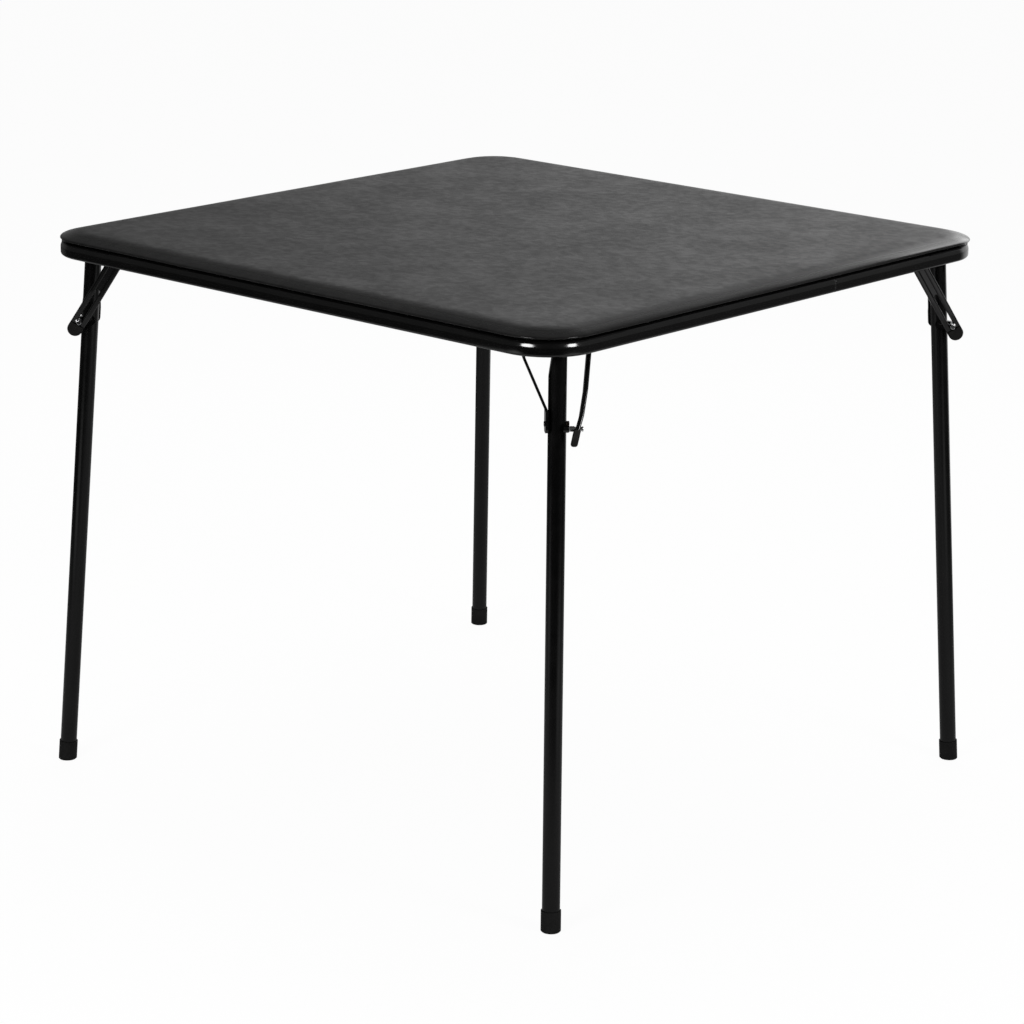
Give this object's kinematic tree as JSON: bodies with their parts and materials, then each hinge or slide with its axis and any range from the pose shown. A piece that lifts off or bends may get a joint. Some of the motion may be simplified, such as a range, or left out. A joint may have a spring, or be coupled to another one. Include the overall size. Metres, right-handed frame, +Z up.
{
  "type": "folding card table",
  "caption": "Square folding card table with a padded charcoal vinyl top, black steel rim and splayed tube legs that lock with slotted braces and fold flat.",
  "frame": {"origin": "On the floor, below the middle of the top.", "axes": "+Z up, +X and +Y along the sides of the square top; the corner nearest the camera in the picture is at +X, -Y."},
  "size_m": [0.8614, 0.851, 0.705],
  "materials": {
    "vinyl": "fine-grained matt vinyl sheet",
    "foam": "open foam sheet",
    "hardboard": "smooth pressed hardboard",
    "rim_enamel": "gloss baked enamel",
    "leg_enamel": "satin baked enamel",
    "brace_enamel": "satin baked enamel",
    "black_enamel": "satin baked enamel",
    "plain_steel": "plain zinc plating",
    "pin_steel": "bright zinc plating",
    "foot_rubber": "matt rubber",
    "grip_rubber": "rough matt rubber"
  },
  "bodies": {
    "table_top": {"vinyl_cover": "vinyl", "foam_pad": "foam", "top_board": "hardboard", "rim_frame": "rim_enamel", "rim_splice_plate": "plain_steel", "frame_screws": "plain_steel", "bracket_rivets": "black_enamel", "front_right_corner_bracket": "black_enamel", "front_right_leg_pivot_rod": "plain_steel", "front_right_brace_pivot_rivet": "plain_steel", "front_left_corner_bracket": "black_enamel", "front_left_leg_pivot_rod": "plain_steel", "front_left_brace_pivot_rivet": "plain_steel", "back_right_corner_bracket": "black_enamel", "back_right_leg_pivot_rod": "plain_steel", "back_right_brace_pivot_rivet": "plain_steel", "back_left_corner_bracket": "black_enamel", "back_left_leg_pivot_rod": "plain_steel", "back_left_brace_pivot_rivet": "plain_steel"},
    "front_right_leg": {"front_right_leg_tube": "leg_enamel", "front_right_foot_cap": "foot_rubber", "front_right_side_strap": "black_enamel", "front_right_strap_rivet": "black_enamel", "front_right_lock_saddle": "black_enamel"},
    "front_right_brace": {"front_right_slotted_brace": "brace_enamel", "front_right_brace_grip": "grip_rubber"},
    "front_right_pin": {"front_right_lock_pin": "pin_steel"},
    "front_left_leg": {"front_left_leg_tube": "leg_enamel", "front_left_foot_cap": "foot_rubber", "front_left_side_strap": "black_enamel", "front_left_strap_rivet": "black_enamel", "front_left_lock_saddle": "black_enamel"},
    "front_left_brace": {"front_left_slotted_brace": "brace_enamel", "front_left_brace_grip": "grip_rubber"},
    "front_left_pin": {"front_left_lock_pin": "pin_steel"},
    "back_right_leg": {"back_right_leg_tube": "leg_enamel", "back_right_foot_cap": "foot_rubber", "back_right_side_strap": "black_enamel", "back_right_strap_rivet": "black_enamel", "back_right_lock_saddle": "black_enamel"},
    "back_right_brace": {"back_right_slotted_brace": "brace_enamel", "back_right_brace_grip": "grip_rubber"},
    "back_right_pin": {"back_right_lock_pin": "pin_steel"},
    "back_left_leg": {"back_left_leg_tube": "leg_enamel", "back_left_foot_cap": "foot_rubber", "back_left_side_strap": "black_enamel", "back_left_strap_rivet": "black_enamel", "back_left_lock_saddle": "black_enamel"},
    "back_left_brace": {"back_left_slotted_brace": "brace_enamel", "back_left_brace_grip": "grip_rubber"},
    "back_left_pin": {"back_left_lock_pin": "pin_steel"}
  },
  "joints": [
    {"name": "front_right_leg_fold", "type": "hinge", "parent": "table_top", "child": "front_right_leg", "pos_m": [0.38538, -0.36841, 0.6794], "axis": [0.7071, 0.7071, 0], "range_deg": [0, 94]},
    {"name": "front_right_brace_swing", "type": "hinge", "parent": "table_top", "child": "front_right_brace", "pos_m": [0.38688, -0.31758, 0.6794], "axis": [0.7071, 0.7071, 0], "range_deg": [0, 108.31]},
    {"name": "front_right_pin_slide", "type": "slide", "parent": "front_right_brace", "child": "front_right_pin", "axis": [-0.2126, 0.5005, 0.8392], "range_m": [0, 0.04841]},
    {"name": "front_left_leg_fold", "type": "hinge", "parent": "table_top", "child": "front_left_leg", "pos_m": [-0.38538, -0.36841, 0.6794], "axis": [0.7071, -0.7071, 0], "range_deg": [0, 91.4]},
    {"name": "front_left_brace_swing", "type": "hinge", "parent": "table_top", "child": "front_left_brace", "pos_m": [-0.33455, -0.36991, 0.6794], "axis": [0.7071, -0.7071, 0], "range_deg": [0, 104.18]},
    {"name": "front_left_pin_slide", "type": "slide", "parent": "front_left_brace", "child": "front_left_pin", "axis": [0.501, 0.212, 0.8391], "range_m": [0, 0.048]},
    {"name": "back_right_leg_fold", "type": "hinge", "parent": "table_top", "child": "back_right_leg", "pos_m": [0.38538, 0.36841, 0.6794], "axis": [-0.7071, 0.7071, 0], "range_deg": [0, 91.4]},
    {"name": "back_right_brace_swing", "type": "hinge", "parent": "table_top", "child": "back_right_brace", "pos_m": [0.38688, 0.31758, 0.6794], "axis": [-0.7071, 0.7071, 0], "range_deg": [0, 104.18]},
    {"name": "back_right_pin_slide", "type": "slide", "parent": "back_right_brace", "child": "back_right_pin", "axis": [-0.212, -0.501, 0.8391], "range_m": [0, 0.048]},
    {"name": "back_left_leg_fold", "type": "hinge", "parent": "table_top", "child": "back_left_leg", "pos_m": [-0.38538, 0.36841, 0.6794], "axis": [-0.7071, -0.7071, 0], "range_deg": [0, 94]},
    {"name": "back_left_brace_swing", "type": "hinge", "parent": "table_top", "child": "back_left_brace", "pos_m": [-0.33455, 0.36991, 0.6794], "axis": [-0.7071, -0.7071, 0], "range_deg": [0, 108.31]},
    {"name": "back_left_pin_slide", "type": "slide", "parent": "back_left_brace", "child": "back_left_pin", "axis": [0.5005, -0.2126, 0.8392], "range_m": [0, 0.04841]}
  ],
  "couplings": [
    {"joint": "front_right_brace_swing", "follows": "front_right_leg_fold", "ratio": 1.1517},
    {"joint": "front_right_pin_slide", "follows": "front_right_leg_fold", "m_per_rad": 0.029444},
    {"joint": "front_left_brace_swing", "follows": "front_left_leg_fold", "ratio": 1.1392},
    {"joint": "front_left_pin_slide", "follows": "front_left_leg_fold", "m_per_rad": 0.030028},
    {"joint": "back_right_brace_swing", "follows": "back_right_leg_fold", "ratio": 1.1392},
    {"joint": "back_right_pin_slide", "follows": "back_right_leg_fold", "m_per_rad": 0.030028},
    {"joint": "back_left_brace_swing", "follows": "back_left_leg_fold", "ratio": 1.1517},
    {"joint": "back_left_pin_slide", "follows": "back_left_leg_fold", "m_per_rad": 0.029444}
  ]
}
